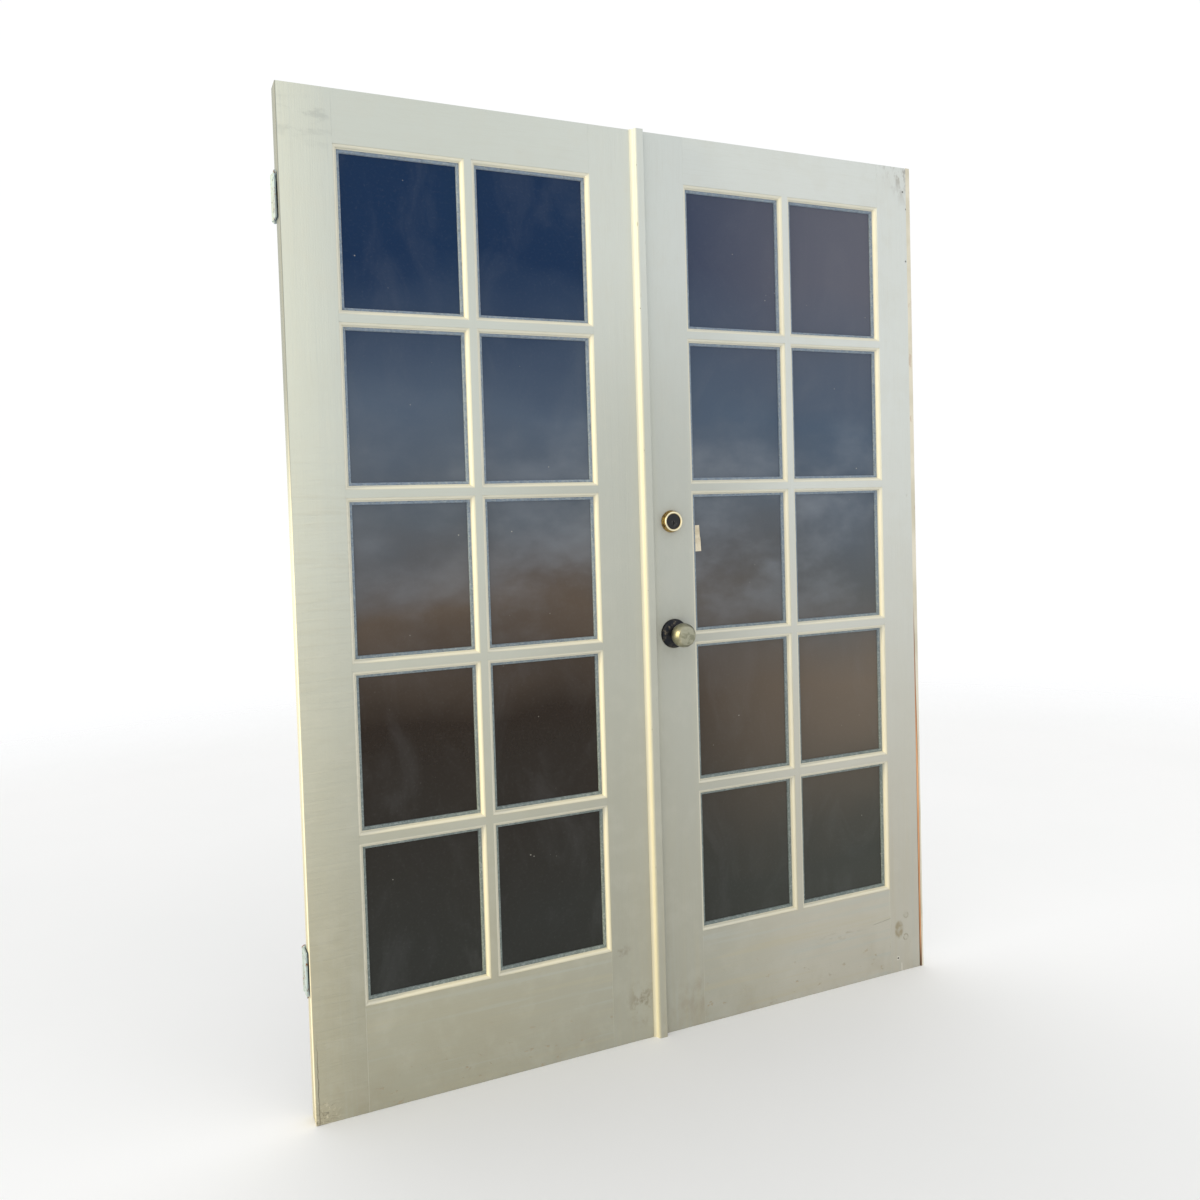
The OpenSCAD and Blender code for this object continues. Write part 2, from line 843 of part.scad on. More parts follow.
// made for the top of the leaf; z = 0 is the leaf end, the bolt lies below it
module bolt_plate() {
  difference() {
    union() {
      translate([rod_x - 14, y_in, -guide_inset - bolt_plate_l]) cube([28, 2.2, bolt_plate_l]);
      for (z = [-guide_inset - guide_h - 4, -guide_inset - bolt_plate_l + 4])
        translate([0, 0, z]) {
          translate([rod_x, rod_y, 0]) cylinder(h = guide_h, r = rod_r + 2.6);
          translate([rod_x - rod_r - 2.6, y_in, 0])
            cube([2 * rod_r + 5.2, rod_y - y_in, guide_h]);
        }
    }
    translate([rod_x, rod_y, -guide_inset - bolt_plate_l - 1])
      cylinder(h = bolt_plate_l + 2, r = rod_r + run_play);
    bolt_screws(fit_play);
  }
}

module bolt_screws(play = 0) {
  for (dx = [-1, 1])
    for (z = [-guide_inset - 26, -guide_inset - bolt_plate_l + 26])
      translate([rod_x + dx * 10.4, y_in + 2.1, z])
        along_out() cylinder(h = bolt_screw_l + play, r = 1.7 + play, $fn = 32);
}

module bolt_rod() {
  translate([rod_x, rod_y, -rod_l - 2]) cylinder(h = rod_l, r = rod_r);
  translate([rod_x, rod_y, -guide_inset - bolt_plate_l / 2]) {
    along_y() cylinder(h = rod_r + 6, r = 3.4);
    translate([0, rod_r + 6, 0])
      along_y()
        rotate_extrude()
          polygon([[0, 0], [5, 0], [7, 2.5], [7, 5], [5, 7], [0, 7.6]]);
  }
}

module at_top() {
  translate([0, 0, leaf_h]) children();
}

module at_bottom() {
  mirror([0, 0, 1]) children();
}

// ---------- sub-parts ----------

module left_hinge_stile() {
  color(paint) left_side() hinge_stile();
}

module left_meeting_stile() {
  color(paint)
    difference() {
      left_side() meeting_stile();
      strike_room(knob_z, latch_strike_h, latch_t, latch_h, latch_throw + 4);
      strike_room(deadbolt_z, deadbolt_strike_h, deadbolt_t, deadbolt_h, deadbolt_throw + 4);
      strike_screws(knob_z, latch_strike_h, fit_play);
      strike_screws(deadbolt_z, deadbolt_strike_h, fit_play);
      cover_nails(fit_play);
      at_top() bolt_screws(fit_play);
      at_bottom() bolt_screws(fit_play);
    }
}

module left_top_rail() {
  color(paint) left_side() top_rail();
}

module left_bottom_rail() {
  color(paint) left_side() bottom_rail();
}

module left_upright_bar() {
  color(paint) left_side() upright_bar();
}

module left_cross_bars() {
  color(paint) left_side() cross_bars();
}

module left_beads() {
  color(paint) left_side() beads();
}

module left_panes(r) {
  color(pane_colour) left_side() panes_row(r);
}

module right_hinge_stile() {
  color(paint) right_side() packed_hinge_stile();
}

module right_meeting_stile() {
  color(paint)
    difference() {
      right_side() meeting_stile();
      lock_room(deadbolt_z, collar_z, deadbolt_bore_r, deadbolt_case_l);
      lock_room(knob_z, knob_z, knob_bore_r, latch_case_l);
      face_screws(deadbolt_z, fit_play);
      face_screws(knob_z, fit_play);
    }
}

module right_top_rail() {
  color(paint) right_side() top_rail();
}

module right_bottom_rail() {
  color(paint) right_side() bottom_rail();
}

module right_upright_bar() {
  color(paint) right_side() upright_bar();
}

module right_cross_bars() {
  color(paint) right_side() cross_bars();
}

module right_beads() {
  color(paint) right_side() beads();
}

module right_panes(r) {
  color(pane_colour) right_side() panes_row(r);
}

module right_edge_strip() {
  color(paint) right_side() edge_strip();
}

module painted_cover_strip() {
  color(paint) cover_strip();
}

module left_fixings() {
  color(steel) {
    left_side()
      for (z = hinge_zs)
        hinge_screws(z);
    strike_screws(knob_z, latch_strike_h);
    strike_screws(deadbolt_z, deadbolt_strike_h);
    cover_nails();
    at_top() bolt_screws();
    at_bottom() bolt_screws();
  }
}

module right_fixings() {
  color(steel) {
    right_side()
      for (z = hinge_zs)
        hinge_screws(z);
    face_screws(knob_z);
    face_screws(deadbolt_z);
    tie_screws(deadbolt_tie_y0());
  }
}

left_hinge_stile();
left_meeting_stile();
left_top_rail();
left_bottom_rail();
left_upright_bar();
left_cross_bars();
left_beads();
left_panes(1);  // left_panes_row_1
left_panes(2);  // left_panes_row_2
left_panes(3);  // left_panes_row_3
left_panes(4);  // left_panes_row_4
left_panes(5);  // left_panes_row_5
right_hinge_stile();
right_meeting_stile();
right_top_rail();
right_bottom_rail();
right_upright_bar();
right_cross_bars();
right_beads();
right_panes(1);  // right_panes_row_1
right_panes(2);  // right_panes_row_2
right_panes(3);  // right_panes_row_3
right_panes(4);  // right_panes_row_4
right_panes(5);  // right_panes_row_5
right_edge_strip();
painted_cover_strip();  // cover_strip
color(steel) left_side() jamb_plate(hinge_zs[0]);  // jamb_plate_left_low
color(steel) left_side() jamb_plate(hinge_zs[1]);  // jamb_plate_left_high
color(steel) right_side() jamb_plate(hinge_zs[0]);  // jamb_plate_right_low
color(steel) right_side() jamb_plate(hinge_zs[1]);  // jamb_plate_right_high
color(steel) left_side() leaf_plate(hinge_zs[0]);  // leaf_plate_left_low
color(steel) left_side() leaf_plate(hinge_zs[1]);  // leaf_plate_left_high
color(steel) right_side() leaf_plate(hinge_zs[0]);  // leaf_plate_right_low
color(steel) right_side() leaf_plate(hinge_zs[1]);  // leaf_plate_right_high
color(steel) left_side() hinge_pin(hinge_zs[0]);  // hinge_pin_left_low
color(steel) left_side() hinge_pin(hinge_zs[1]);  // hinge_pin_left_high
color(steel) right_side() hinge_pin(hinge_zs[0]);  // hinge_pin_right_low
color(steel) right_side() hinge_pin(hinge_zs[1]);  // hinge_pin_right_high
left_fixings();
right_fixings();
color(brass) deadbolt_collar();
color(dark_bronze) deadbolt_cylinder();
color(dark_bronze) deadbolt_plug();
color(steel) deadbolt();
color(steel) deadbolt_case();
color(brass) deadbolt_inside_plate();
color(brass) thumb_turn();
color(brass) deadbolt_strike();
color(dark_bronze) outside_rose();
color(old_brass) outside_knob();
color(dark_bronze) inside_rose();
color(old_brass) inside_knob();
color(steel) spindle();
color(steel) latch();
color(steel) latch_case();
color(brass) latch_strike();
color(brass) at_top() bolt_plate();  // top_bolt_plate
color(brass) at_top() bolt_rod();  // top_bolt_rod
color(brass) at_bottom() bolt_plate();  // bottom_bolt_plate
color(brass) at_bottom() bolt_rod();  // bottom_bolt_rod
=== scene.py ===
"""A pair of old painted french doors: finishes, small worn details, studio and camera."""

import json
import math

import bmesh
import bpy
from mathutils import Euler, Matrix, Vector

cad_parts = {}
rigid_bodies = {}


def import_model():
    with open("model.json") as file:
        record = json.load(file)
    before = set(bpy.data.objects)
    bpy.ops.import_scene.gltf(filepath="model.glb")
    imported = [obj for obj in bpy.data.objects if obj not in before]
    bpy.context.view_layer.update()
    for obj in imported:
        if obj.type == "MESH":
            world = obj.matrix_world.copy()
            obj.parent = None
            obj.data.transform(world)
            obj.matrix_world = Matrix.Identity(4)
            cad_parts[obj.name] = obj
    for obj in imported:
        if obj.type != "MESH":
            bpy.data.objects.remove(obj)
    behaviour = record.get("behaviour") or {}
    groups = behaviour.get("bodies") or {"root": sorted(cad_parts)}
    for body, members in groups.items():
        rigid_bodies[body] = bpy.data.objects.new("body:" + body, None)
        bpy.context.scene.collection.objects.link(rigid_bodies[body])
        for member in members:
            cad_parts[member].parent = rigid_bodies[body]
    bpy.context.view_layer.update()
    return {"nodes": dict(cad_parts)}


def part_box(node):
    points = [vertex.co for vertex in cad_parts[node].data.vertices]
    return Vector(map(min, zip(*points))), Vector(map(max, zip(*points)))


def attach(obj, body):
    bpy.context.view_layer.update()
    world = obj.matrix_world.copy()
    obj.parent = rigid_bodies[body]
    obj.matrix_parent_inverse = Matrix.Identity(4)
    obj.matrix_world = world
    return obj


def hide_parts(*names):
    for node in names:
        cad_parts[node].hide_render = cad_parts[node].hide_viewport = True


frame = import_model()

# ---------------------------------------------------------------- sizes, in metres

LEAF_LOW, LEAF_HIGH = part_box("left_hinge_stile")
FACE_OUT = LEAF_LOW.y
FACE_IN = LEAF_HIGH.y
LEAF_TOP = LEAF_HIGH.z
OUTER_X = -LEAF_LOW.x
SIDES = {"left": "passive_leaf", "right": "active_leaf"}
ROWS = range(1, 6)
KNOB_LOW, KNOB_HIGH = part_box("outside_knob")
KNOB_AT = (KNOB_LOW + KNOB_HIGH) / 2
COLLAR_LOW, COLLAR_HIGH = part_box("deadbolt_collar")
COLLAR_AT = (COLLAR_LOW + COLLAR_HIGH) / 2

# How far the glass runs into the wood behind the moulding
GLASS_REBATE = 0.0085
# The putty line round each pane: how far it stands on the wood, and how far it lies on the glass
PUTTY_LEG = 0.0054
PUTTY_WIDTH = 0.0062
# Share of the putty's leg that its hollow face takes
PUTTY_HOLLOW = 0.85
# Where rails meet the hinge stiles and the meeting stiles, measured from the middle of the pair
OUTER_JOINT = 0.660
INNER_JOINT = 0.116
# Rounding that the paint gives to the outer corners of the leaves and to the joints of the rails
CORNER_ROUND = 0.0016
JOINT_ROUND = 0.0003
# Points nearer than this are one point, and faces flatter than this are one face
MERGE = 0.00001
FLAT = math.radians(0.3)
# Places that differ by less than this are the same place
SAME = 0.0002
# Edges blunter than these are shaded smooth, on the wood and on the small pieces
STILE_SMOOTH = math.radians(28)
SMALL_SMOOTH = math.radians(40)
# The paper label: its size, how far it hangs below the pane's top edge, its gap from the
# pane's side, how far it stands off the glass, its lean, and its thickness
LABEL_SIZE = Vector((0.019, 0, 0.060))
LABEL_DROP = 0.071
LABEL_GAP = 0.0005
LABEL_OFF = 0.0006
LABEL_LEAN = math.radians(-2.5)
LABEL_THICK = 0.0003
# Its curl: a share of its width, and how far what lies beyond that lifts
LABEL_CURL = ((0.72, 0.0004), (0.84, 0.0007), (0.94, 0.0011))
# Ring marks on the right leaf, the greatest and the lowest
GREAT_RING = (0.710, FACE_OUT, 0.142)
LOW_RING = (0.683, FACE_OUT, 0.035)


# ---------------------------------------------------------------- shader tools


class Level:
    """A number or colour that changes over a surface. Arithmetic on it adds Math nodes."""

    def __init__(self, finish, socket):
        self.finish = finish
        self.socket = socket

    def maths(self, operation, first, second=None):
        return self.finish.add("ShaderNodeMath", {"operation": operation}, {0: first, 1: second})

    def __add__(self, other):
        return self.maths("ADD", self, other)

    def __sub__(self, other):
        return self.maths("SUBTRACT", self, other)

    def __rsub__(self, other):
        return self.maths("SUBTRACT", other, self)

    def __mul__(self, other):
        return self.maths("MULTIPLY", self, other)

    def __abs__(self):
        return self.maths("ABSOLUTE", self)

    __radd__ = __add__
    __rmul__ = __mul__

    def over(self, low, high):
        """0 at low, 1 at high, and smooth between them; low may be the greater."""
        limits = {"Value": self, "From Min": low, "From Max": high}
        return self.finish.add("ShaderNodeMapRange", {"interpolation_type": "SMOOTHSTEP"}, limits)

    def held(self):
        """Kept from 0 to 1."""
        return self.finish.add("ShaderNodeClamp", {}, {"Value": self})


class Finish:
    """One material, with its patterns on the piece's own coordinates, in metres."""

    def __init__(self, name, **constants):
        self.material = bpy.data.materials.new(name)
        self.material.use_nodes = True
        self.tree = self.material.node_tree
        self.shader = self.tree.nodes["Principled BSDF"]
        for socket, value in constants.items():
            self.shader.inputs[socket.replace("_", " ")].default_value = value
        self.place = self.add("ShaderNodeTexCoord", out="Object")
        self.x, self.y, self.z = self.parts(self.place)

    def add(self, kind, settings=None, inputs=None, out=0):
        """Adds a node: its settings first, then the values or links of its sockets."""
        node = self.tree.nodes.new(kind)
        for key, value in (settings or {}).items():
            setattr(node, key, value)
        for key, value in (inputs or {}).items():
            if isinstance(value, Level):
                self.tree.links.new(value.socket, node.inputs[key])
            elif value is not None:
                node.inputs[key].default_value = value
        return Level(self, node.outputs[out])

    def parts(self, vector):
        node = self.add("ShaderNodeSeparateXYZ", {}, {0: vector}).socket.node
        return [Level(self, socket) for socket in node.outputs]

    def mapped(self, stretch=(1, 1, 1), shift=(0, 0, 0), turn=(0, 0, 0)):
        inputs = {"Vector": self.place, "Scale": stretch, "Location": shift, "Rotation": turn}
        return self.add("ShaderNodeMapping", {}, inputs)

    def noise(self, scale, stretch=(1, 1, 1), detail=2.0, rough=0.5, shift=(0, 0, 0), warp=0.0):
        inputs = {
            "Vector": self.mapped(stretch, shift),
            "Scale": scale,
            "Detail": detail,
            "Roughness": rough,
            "Distortion": warp,
        }
        return self.add("ShaderNodeTexNoise", {}, inputs)

    def cells(self, scale, stretch=(1, 1, 1), shift=(0, 0, 0), out="Distance"):
        inputs = {"Vector": self.mapped(stretch, shift), "Scale": scale}
        return self.add("ShaderNodeTexVoronoi", {}, inputs, out)

    def near(self, point, reach, stretch=(1, 1, 1)):
        """1 at a point, fading to 0 at reach from it; stretch shrinks the reach along an axis."""
        stretched = {0: self.place, "Scale": stretch}
        place = self.add("ShaderNodeMapping", {"vector_type": "POINT"}, stretched)
        there = [a * b for a, b in zip(point, stretch)]
        inputs = {0: place, 1: there}
        distance = self.add("ShaderNodeVectorMath", {"operation": "DISTANCE"}, inputs, "Value")
        return distance.over(reach, 0.0)

    def mix(self, factor, low, high):
        """Colour low where factor is 0 and colour high where it is 1."""
        inputs = {0: factor, 6: rgba(low), 7: rgba(high)}
        return self.add("ShaderNodeMix", {"data_type": "RGBA"}, inputs, 2)

    def ramp(self, factor, stops):
        """A colour that runs through stops, each a place from 0 to 1 and a colour."""
        level = self.add("ShaderNodeValToRGB", {}, {0: factor})
        band = level.socket.node.color_ramp
        while len(band.elements) < len(stops):
            band.elements.new(1.0)
        for element, (place, colour) in zip(band.elements, stops):
            element.position = place
            element.color = rgba(colour)
        return level

    def ring(self, point, reach):
        """A thin broken ring round a point, half way out to reach."""
        broken = self.noise(150, detail=2, shift=(2, 2, 5)).over(0.35, 0.60)
        return abs(self.near(point, reach) - 0.5).over(0.28, 0.08) * broken

    def shade(self, colour, roughness=None, height=None, depth=0.0004, **varied):
        """Links what changes over the surface to the shader."""
        links = {"Base Color": colour, "Roughness": roughness, **varied}
        if height is not None:
            links["Normal"] = self.add("ShaderNodeBump", {}, {"Height": height, "Distance": depth})
        for key, value in links.items():
            if isinstance(value, Level):
                self.tree.links.new(value.socket, self.shader.inputs[key.replace("_", " ")])
        return self.material


def rgba(colour):
    """A colour given as six hex digits, or as a link, made ready for a socket."""
    if isinstance(colour, Level):
        return colour
    parts = [int(colour[i : i + 2], 16) / 255 for i in (0, 2, 4)]
    linear = [c / 12.92 if c <= 0.04045 else ((c + 0.055) / 1.055) ** 2.4 for c in parts]
    return (*linear, 1.0)


# ---------------------------------------------------------------- finishes

GRAIN = {"up": (1, 1, 0.03), "across": (0.03, 1, 1)}


def paint(name, grain, rippled=False, marks=None):
    """Old off-white paint brushed along the grain; painted sky light makes it bluer high up,
    painted shade yellower low down.
    """
    f = Finish(name, Specular_IOR_Level=0.3)
    strokes = f.noise(520, GRAIN[grain], 4, 0.6)
    sags = f.noise(70, GRAIN[grain], 2, 0.5, warp=0.4)
    peel = f.noise(330, detail=2)
    patches = f.noise(4.5, detail=4, rough=0.6)
    blots = f.noise(22, detail=3, rough=0.55, shift=(4, 1, 7))
    # painted sky light and shade: the colour lightens and turns bluer with height, and the left
    # leaf is painted in darker shade than the right
    height = (f.z.over(0.05, 1.60) + (patches - 0.5) * 0.30).held()
    side = f.x.over(-0.60, 0.60)
    low = f.mix(side, "9F9D8B", "B1AEA1")
    high = f.mix(side, "BBC1BB", "C9CECB")
    colour = f.mix(height, low, high)
    # painted shade: the paint is darker towards where the leaves meet, from about head height down
    painted_shade_middle = abs(f.x).over(0.45, 0.10) * f.z.over(1.80, 1.25)
    colour = f.mix((painted_shade_middle * 0.42).held(), colour, "989A8E")
    # painted light: the recessed moulding is lightened to a cream that stands for the warm side
    # light
    moulding = f.y.over(FACE_OUT + 0.0005, FACE_OUT + 0.0020) * f.y.over(-0.0055, -0.0075)
    colour = f.mix((moulding * 0.75).held(), colour, "DDD9C6")
    colour = f.mix((blots.over(0.45, 0.75) * 0.16).held(), colour, "BDBDB2")
    colour = f.mix((strokes.over(0.45, 0.8) * 0.13).held(), colour, "A8A79A")
    # bands that a wide brush left, tan and grey by turns, plainest low down
    bands = f.noise(62, GRAIN[grain], 3, 0.6, shift=(5, 2, 5))
    faded = f.z.over(0.9, 0.1) * (side * 0.6 + 0.4) * (0.7 if grain == "across" else 0.35)
    colour = f.mix((bands.over(0.52, 0.72) * faded).held(), colour, "A9ADA6")
    colour = f.mix((bands.over(0.48, 0.30) * faded * 0.6).held(), colour, "B0A98F")
    # dirt that rain and feet have left near the ground
    splash = f.z.over(0.16, 0.0) * f.noise(14, (1, 1, 0.6), 5, 0.65).over(0.46, 0.74)
    colour = f.mix((splash * 0.28).held(), colour, "948A72")
    # small dents and specks
    dents = f.cells(15, (1, 1, 0.7)).over(0.07, 0.03) * f.noise(6, shift=(3, 3, 3)).over(0.58, 0.70)
    colour = f.mix((dents * 0.5).held(), colour, "7D7868")
    roughness = 0.42 + strokes * 0.12 + splash * 0.25
    bump = strokes * 0.3 + sags * 0.5 + peel * 0.25 - dents * 1.2
    if rippled:
        waves = f.noise(105, (0.09, 1, 1), 2, 0.5, shift=(1, 5, 2), warp=0.5)
        waves = waves * f.z.over(1.75, 1.15)
        colour = f.mix((waves.over(0.46, 0.72) * 0.20).held(), colour, "A7A698")
        bump = bump + waves * 1.6
    for mask, tint, strength, sunk in marks(f) if marks else []:
        colour = f.mix((mask * strength).held(), colour, tint)
        bump = bump - mask * sunk
    return f.shade(colour, roughness, bump, 0.0006)


def left_stile_marks(f):
    """Greasy smudges high up, a painted shadow down the upper hinge edge, and a corner worn to the
    wood at the foot.
    """
    smear = f.noise(38, (0.6, 1, 1.4), 4, 0.6, shift=(6, 2, 1)).over(0.46, 0.68)
    hands = f.near((-0.72, FACE_OUT, 1.955), 0.075, (0.6, 1, 1)) * smear
    rub = f.near((-0.69, FACE_OUT, 1.985), 0.06, (0.4, 1, 1.3)) * smear
    # painted shadow: the hinge edge darkened to grey from the middle up
    rim = f.x.over(-OUTER_X + 0.0025, -OUTER_X + 0.0008) * f.z.over(1.05, 1.50)
    corner = f.near((-OUTER_X + 0.014, FACE_OUT, 0.012), 0.05)
    splits = abs(f.noise(70, (0.5, 1, 1.6), 3, 0.6, shift=(8, 8, 8)) - 0.5)
    splits = splits.over(0.014, 0.002) * corner
    flakes = f.noise(130, detail=4, rough=0.6, shift=(3, 8, 3)).over(0.58, 0.63) * corner
    crack = abs(f.x + 0.757 + (f.noise(60, detail=2) - 0.5) * 0.006).over(0.0007, 0.0001)
    crack = crack * f.z.over(0.20, 0.10)
    return [
        (hands, "8F9695", 0.34, 0.0),
        (rub, "9BA09D", 0.30, 0.0),
        (rim, "62696B", 0.90, 0.0),
        (corner, "A39C86", 0.5, 0.0),
        (splits, "5E564A", 0.7, 1.6),
        (flakes, "D8D2BC", 0.6, -1.2),
        (crack, "4B4237", 0.85, 1.4),
    ]


def top_corner_marks(f):
    """Rust runs and nail holes at the outer top corner, bangs down the edge, rings at the foot."""
    stain = f.noise(60, (1, 1, 0.5), 5, 0.65, shift=(2, 7, 4))
    rust = f.near((0.752, FACE_OUT, 2.008), 0.07, (1, 1, 0.75)) * stain.over(0.46, 0.62)
    soot = f.near((0.735, FACE_OUT, 2.02), 0.11, (0.55, 1, 2.2)) * stain.over(0.5, 0.66)
    tan = f.near((0.687, FACE_OUT, 0.109), 0.030, (1.5, 1, 0.9)).over(0.05, 0.55)
    tan = tan * (0.45 + f.noise(80, detail=3).over(0.35, 0.60) * 0.55)
    split = abs(f.x - 0.694).over(0.0012, 0.0004) * f.z.over(0.024, 0.018)
    shadow = f.near(GREAT_RING, 0.016) * 0.4
    edge = f.x.over(0.7555, 0.7635)
    edge = edge * f.noise(34, (1, 1, 0.5), 4, 0.6, shift=(5, 1, 1)).over(0.54, 0.66)
    marks = [
        (rust, "6B5A48", 0.45, 0.3),
        (soot, "7E7A70", 0.32, 0.1),
        (tan, "8C8165", 0.80, 0.2),
        (split, "E8E6DC", 0.8, -0.6),
        (shadow, "9A937F", 0.6, 0.0),
        (f.ring(GREAT_RING, 0.013), "8F8A78", 0.5, 0.5),
        (f.ring((0.708, FACE_OUT, 0.086), 0.014), "8B8472", 0.6, 0.6),
        (f.ring(LOW_RING, 0.008), "E8E6DC", 0.7, -0.6),
        (edge, "B9AE93", 0.6, 0.8),
    ]
    for x, z in ((0.742, 1.972), (0.752, 1.93), (0.748, 1.80), (0.683, 0.035)):
        marks.append((f.near((x, FACE_OUT, z), 0.0035), "2E2A25", 0.95, 3.0))
    return marks


def handled_marks(f):
    """Finger dirt round the knob and the deadbolt, scuffs at the foot, and a painted shadow beside
    the cover strip.
    """
    smear = f.noise(42, (1, 1, 0.7), 4, 0.6, shift=(1, 1, 6)).over(0.4, 0.72)
    knob = f.near((KNOB_AT.x, FACE_OUT, KNOB_AT.z), 0.10) * smear
    lock = f.near((COLLAR_AT.x, FACE_OUT, COLLAR_AT.z), 0.06) * smear
    scuff = f.near((0.10, FACE_OUT, 0.07), 0.09, (0.7, 1, 1)) * smear
    # painted shadow: a dark line on the stile along the cover strip's edge
    painted_shadow_seam = abs(f.x - 0.0130).over(0.0030, 0.0008) * f.noise(20, (1, 1, 0.2), 3).over(0.32, 0.6)
    return [
        (knob, "8F8A79", 0.28, 0.0),
        (lock, "95907F", 0.26, 0.0),
        (scuff, "8A7F6A", 0.40, 0.3),
        (painted_shadow_seam, "857B69", 0.80, 0.6),
    ]


def foot_marks(f):
    """A dull patch, runs and kicks at the foot of a meeting stile."""
    smear = f.noise(36, (1, 1, 0.8), 5, 0.65, shift=(7, 2, 6)).over(0.46, 0.62)
    patch = f.near((-0.045, FACE_OUT, 0.085), 0.055, (1.1, 1, 0.8)) * smear
    kick = f.near((-0.09, FACE_OUT, 0.21), 0.02, (0.7, 1, 1)) * smear
    return [(patch, "7A735C", 0.75, 0.4), (kick, "6E6552", 0.55, 0.9)]


def rail_marks(f):
    """Flaked paint and long thin bangs low on a bottom rail, and painted highlights on the joints
    with the stiles.
    """
    chips = f.noise(48, (0.7, 1, 1.3), 4, 0.6, shift=(3, 6, 9)).over(0.63, 0.67)
    chips = chips * f.z.over(0.16, 0.03)
    bang = f.near((0.50, FACE_OUT, 0.13), 0.09, (1, 1, 5))
    bang = bang * f.noise(90, (0.3, 1, 1), 3).over(0.5, 0.62)
    # painted highlight: pale lines down the joints with the stiles, low on the rail
    outer = abs(abs(f.x) - OUTER_JOINT).over(0.0016, 0.0004)
    inner = abs(abs(f.x) - INNER_JOINT).over(0.0012, 0.0003)
    joints = (outer + inner * 0.6) * f.noise(16, (1, 1, 0.5), 3).over(0.30, 0.55)
    joints = joints * f.z.over(0.6, 0.2)
    split = abs(f.z - 0.142 + (OUTER_JOINT - f.x) * 0.12).over(0.0012, 0.0003)
    split = split * f.x.over(0.600, 0.612) * f.near((0.63, FACE_OUT, 0.14), 0.06).over(0.0, 0.2)
    return [
        (chips, "A2937A", 0.6, 0.9),
        (bang, "8C8371", 0.5, 0.5),
        (joints, "CBC9BA", 0.50, -0.6),
        (split, "7A7465", 0.45, 0.9),
    ]


def cover_marks(f):
    """Dents near the top, paint rubbed off the nose of the strip, and painted light on its cove."""
    spots = f.cells(60, (1, 1, 0.35), shift=(2, 2, 2)).over(0.16, 0.06)
    dents = spots * f.z.over(1.45, 1.75) * f.noise(12, shift=(1, 2, 3)).over(0.5, 0.6)
    grime = abs(f.x + 0.0075).over(0.0035, 0.0) * f.noise(18, (1, 1, 0.2), 3).over(0.45, 0.7)
    # painted light: the cove, which faces the warm side light, is lightened to cream
    painted_light_cove = f.x.over(-0.0085, -0.0105)
    return [(dents, "8B8676", 0.6, 1.2), (grime, "A5A08C", 0.4, 0.2), (painted_light_cove, "E2DDC8", 0.42, 0.0)]


def inside_paint():
    """The glazing beads' paint, a little greyer than the leaf's."""
    f = Finish("bead_paint", Specular_IOR_Level=0.35)
    strokes = f.noise(420, (0.2, 1, 0.2), 3, 0.6)
    dust = f.noise(30, detail=4, rough=0.6)
    colour = f.mix((dust.over(0.4, 0.75) * 0.6).held(), "CFD1C8", "BBBAAD")
    return f.shade(colour, 0.5 + strokes * 0.15, strokes + dust * 0.4, 0.0004)


def putty():
    """Hard old putty: bluish grey, and cracked across here and there."""
    f = Finish("putty", Specular_IOR_Level=0.3)
    lumps = f.noise(210, detail=3, rough=0.6)
    cracks = abs(f.noise(120, detail=2, shift=(5, 5, 5)) - 0.5).over(0.02, 0.0)
    colour = f.mix(f.z.over(0.45, 1.35), "737E7B", "7C8B9C")
    colour = f.mix((lumps.over(0.42, 0.72) * 0.5).held(), colour, "A9B0AE")
    colour = f.mix((cracks * 0.6).held(), colour, "4E5358")
    return f.shade(colour, 0.6 + lumps * 0.2, lumps - cracks, 0.0005)


def glass():
    """Old glass with painted reflections and painted shade: navy sky above, slate in the middle, a
    dark room's brown and grey below.
    """
    f = Finish("window_glass", Specular_IOR_Level=0.16, IOR=1.5)
    drift = f.noise(2.2, (1, 1, 1.8), 3, 0.5)
    tone = ((f.z + (drift - 0.5) * 0.26) * 0.5).held()
    # painted reflection and shade by height: the left leaf's panes darker, the right leaf's lighter
    # with dust and reflection
    heights = (0.16, 0.38, 0.50, 0.60, 0.70, 0.86)
    clear = zip(heights, ("2D2E2B", "271E16", "554A40", "535A62", "4A586A", "03274A"))
    dust_and_reflection = zip(heights, ("3E403B", "6A5F53", "55585A", "545E6A", "465669", "5A5C68"))
    across = f.x.over(-0.20, 0.62)
    colour = f.mix(across, f.ramp(tone, list(clear)), f.ramp(tone, list(dust_and_reflection)))
    # painted reflection of broad pale clouds, strongest at the middle height
    painted_cloud_reflection = f.noise(3.4, (1, 1, 1.7), 5, 0.55, shift=(3, 0, 8)).over(0.40, 0.70)
    painted_cloud_reflection = painted_cloud_reflection * f.z.over(0.80, 1.08) * f.z.over(1.55, 1.20) * (0.55 + f.x.over(-0.6, 0.2) * 0.45)
    colour = f.mix((painted_cloud_reflection * 0.5).held(), colour, "858C95")
    dust = f.noise(150, detail=5, rough=0.7).over(0.5, 0.85)
    wiped = f.noise(9, (1, 1, 0.5), 4, 0.6, shift=(1, 4, 1), warp=1.0).over(0.45, 0.75)
    film = (dust * 0.5 + wiped * 0.35) * 0.16
    colour = f.mix(film.held(), colour, "85878A")
    specks = f.cells(55, shift=(6, 1, 2)).over(0.10, 0.04)
    specks = specks * f.noise(16, shift=(2, 1, 7)).over(0.6, 0.7)
    colour = f.mix((specks * 0.7).held(), colour, "B9B7AC")
    roughness = 0.035 + film * 0.5 + specks * 0.4
    alpha = (0.965 + film * 0.1 + specks * 0.1).held()
    waves = f.noise(7, (1, 1, 0.35), 1, 0.3, shift=(8, 3, 1))
    return f.shade(colour, roughness, waves, 0.0012, Alpha=alpha)


